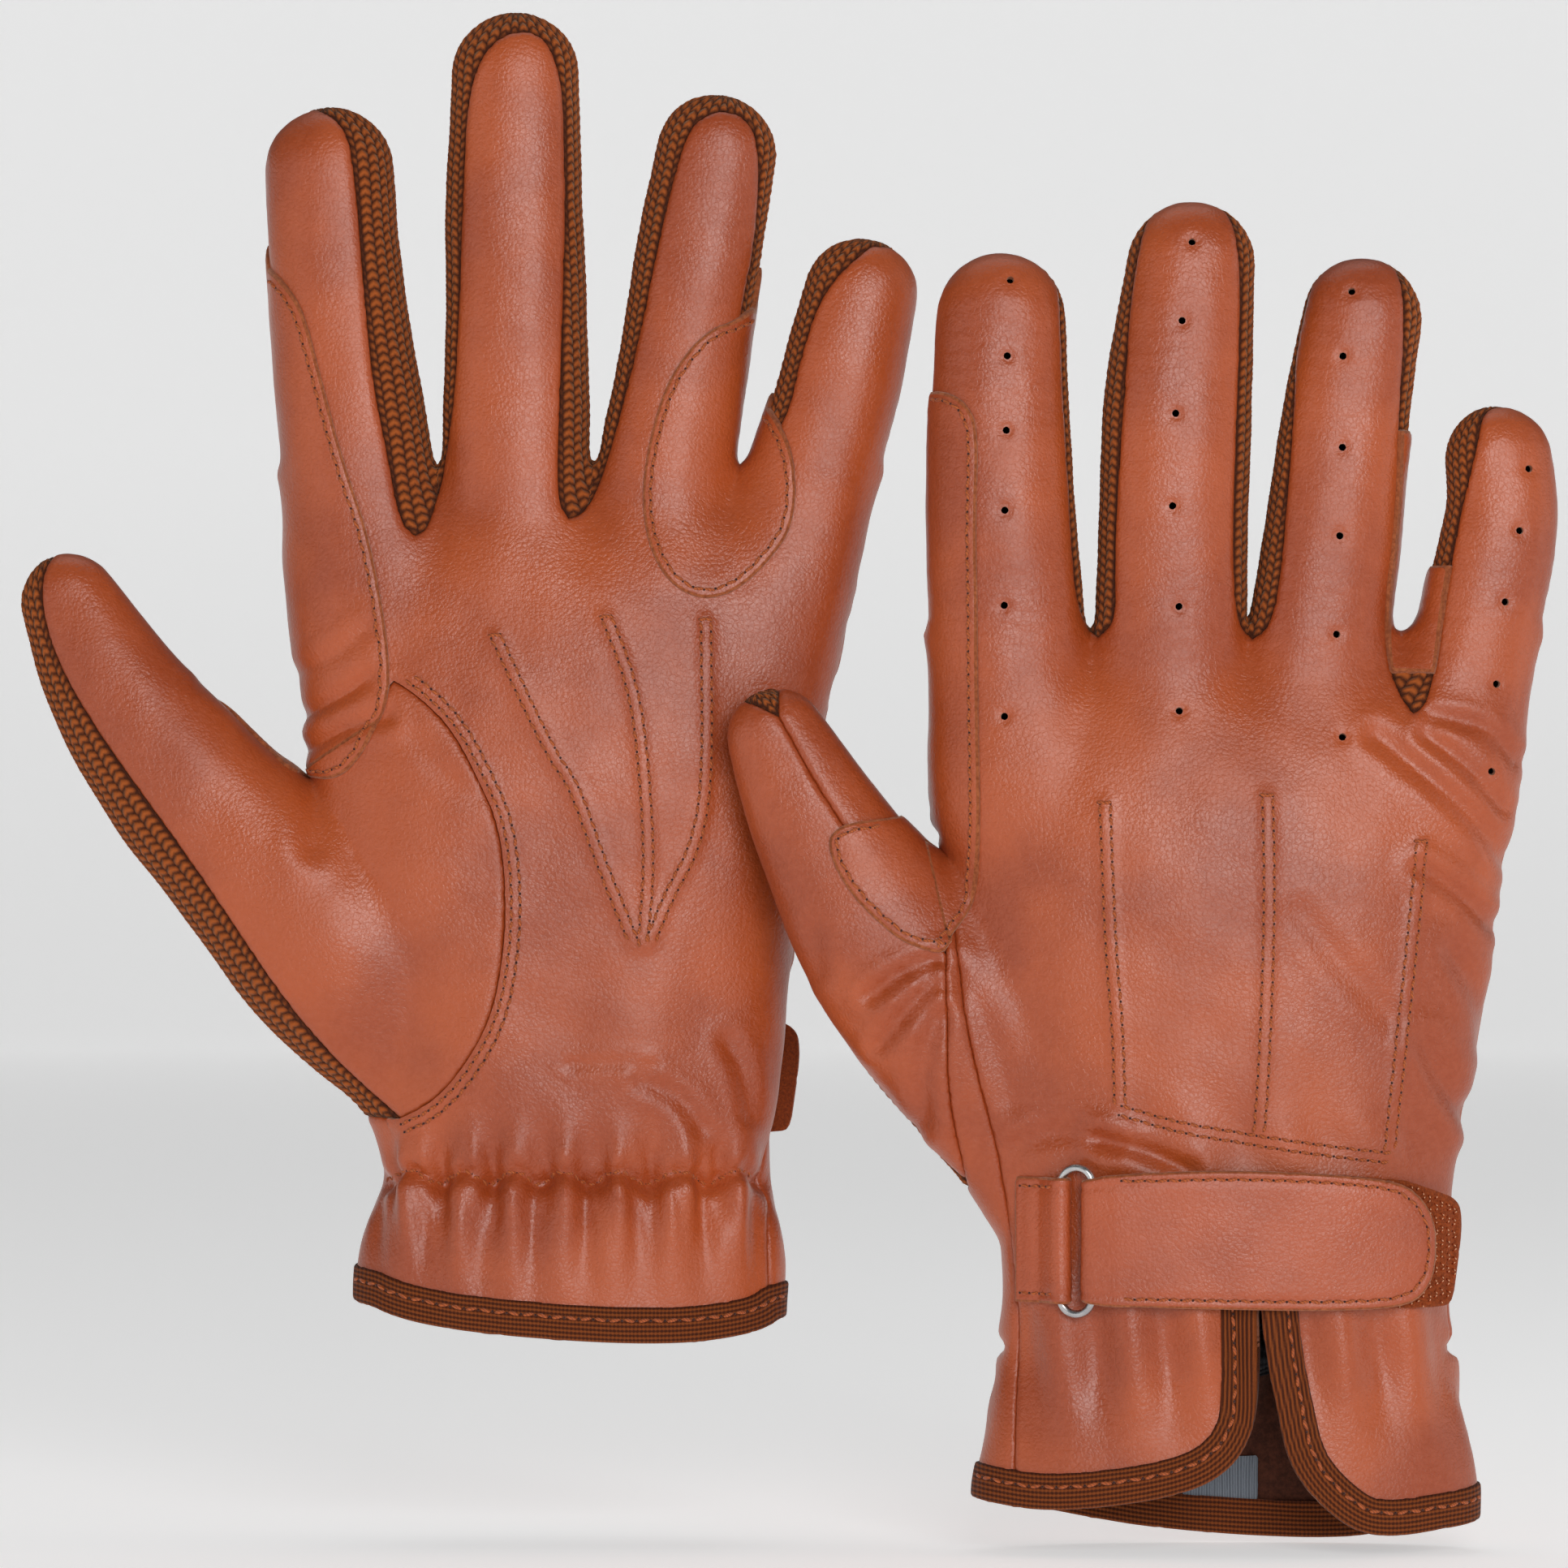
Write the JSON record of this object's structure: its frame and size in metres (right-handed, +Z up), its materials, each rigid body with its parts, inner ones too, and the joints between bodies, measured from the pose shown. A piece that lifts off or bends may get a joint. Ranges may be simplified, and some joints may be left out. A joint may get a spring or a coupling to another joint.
{
  "type": "leather gloves",
  "caption": "Pair of men's leather riding gloves with knitted finger sides, sewn patches, vent holes and a wrist strap that turns back through a wire ring.",
  "frame": {"origin": "middle of the left glove's hand opening, on the plane of its hem", "axes": "+Z up from the cuffs to the fingertips, +X across the pair from the left glove to the right one, +Y from the front of the pair to its back, so the left glove shows its palm and the right glove its back towards -Y"},
  "size_m": [0.2867, 0.0624, 0.2821],
  "materials": {
    "tan_leather": "fine pebbled grain, satin",
    "dark_leather": "smooth, satin",
    "rust_knit": "coarse ribbed knit",
    "hem_tape": "ribbed knitted tape",
    "black_elastic": "ribbed elastic",
    "label_cloth": "woven, blank",
    "ring_steel": "polished wire",
    "loop_pile": "looped pile",
    "hook_tape": "small stiff hooks"
  },
  "bodies": {
    "left_glove": {"left_palm_panel": "tan_leather", "left_back_panel": "tan_leather", "left_thumb_front": "tan_leather", "left_thumb_back": "tan_leather", "left_thumb_gusset": "rust_knit", "left_fourchette_index_middle": "rust_knit", "left_fourchette_middle_ring": "rust_knit", "left_fourchette_ring_little": "rust_knit", "left_index_patch": "dark_leather", "left_web_patch": "dark_leather", "left_ring_little_patch": "dark_leather", "left_hem_binding": "hem_tape", "left_wrist_elastic": "black_elastic", "left_size_label": "label_cloth", "left_strap_anchor": "dark_leather", "left_hook_pad": "hook_tape"},
    "left_ring": {"left_strap_ring": "ring_steel"},
    "left_tab": {"left_strap_tab": "tan_leather", "left_loop_pad": "loop_pile"},
    "right_glove": {"right_palm_panel": "tan_leather", "right_back_panel": "tan_leather", "right_thumb_front": "tan_leather", "right_thumb_back": "tan_leather", "right_thumb_gusset": "rust_knit", "right_fourchette_index_middle": "rust_knit", "right_fourchette_middle_ring": "rust_knit", "right_fourchette_ring_little": "rust_knit", "right_index_patch": "dark_leather", "right_web_patch": "dark_leather", "right_ring_little_patch": "dark_leather", "right_hem_binding": "hem_tape", "right_wrist_elastic": "black_elastic", "right_size_label": "label_cloth", "right_strap_anchor": "dark_leather", "right_hook_pad": "hook_tape"},
    "right_ring": {"right_strap_ring": "ring_steel"},
    "right_tab": {"right_strap_tab": "tan_leather", "right_loop_pad": "loop_pile"}
  },
  "joints": [
    {"name": "right_glove_apart", "type": "slide", "parent": "left_glove", "child": "right_glove", "axis": [0, -1, 0], "range_m": [0, 0.04]},
    {"name": "left_ring_swing", "type": "hinge", "parent": "left_glove", "child": "left_ring", "pos_m": [-0.031, 0.01536, 0.0465], "axis": [0, 0, 1], "range_deg": [0, 60]},
    {"name": "left_tab_open", "type": "hinge", "parent": "left_ring", "child": "left_tab", "pos_m": [-0.0253, 0.01723, 0.0465], "axis": [0, 0, 1], "range_deg": [0, 110]},
    {"name": "right_ring_swing", "type": "hinge", "parent": "right_glove", "child": "right_ring", "pos_m": [0.0914, -0.03536, 0.016], "axis": [0, 0, -1], "range_deg": [0, 60]},
    {"name": "right_tab_open", "type": "hinge", "parent": "right_ring", "child": "right_tab", "pos_m": [0.0971, -0.03723, 0.016], "axis": [0, 0, -1], "range_deg": [0, 110]}
  ]
}
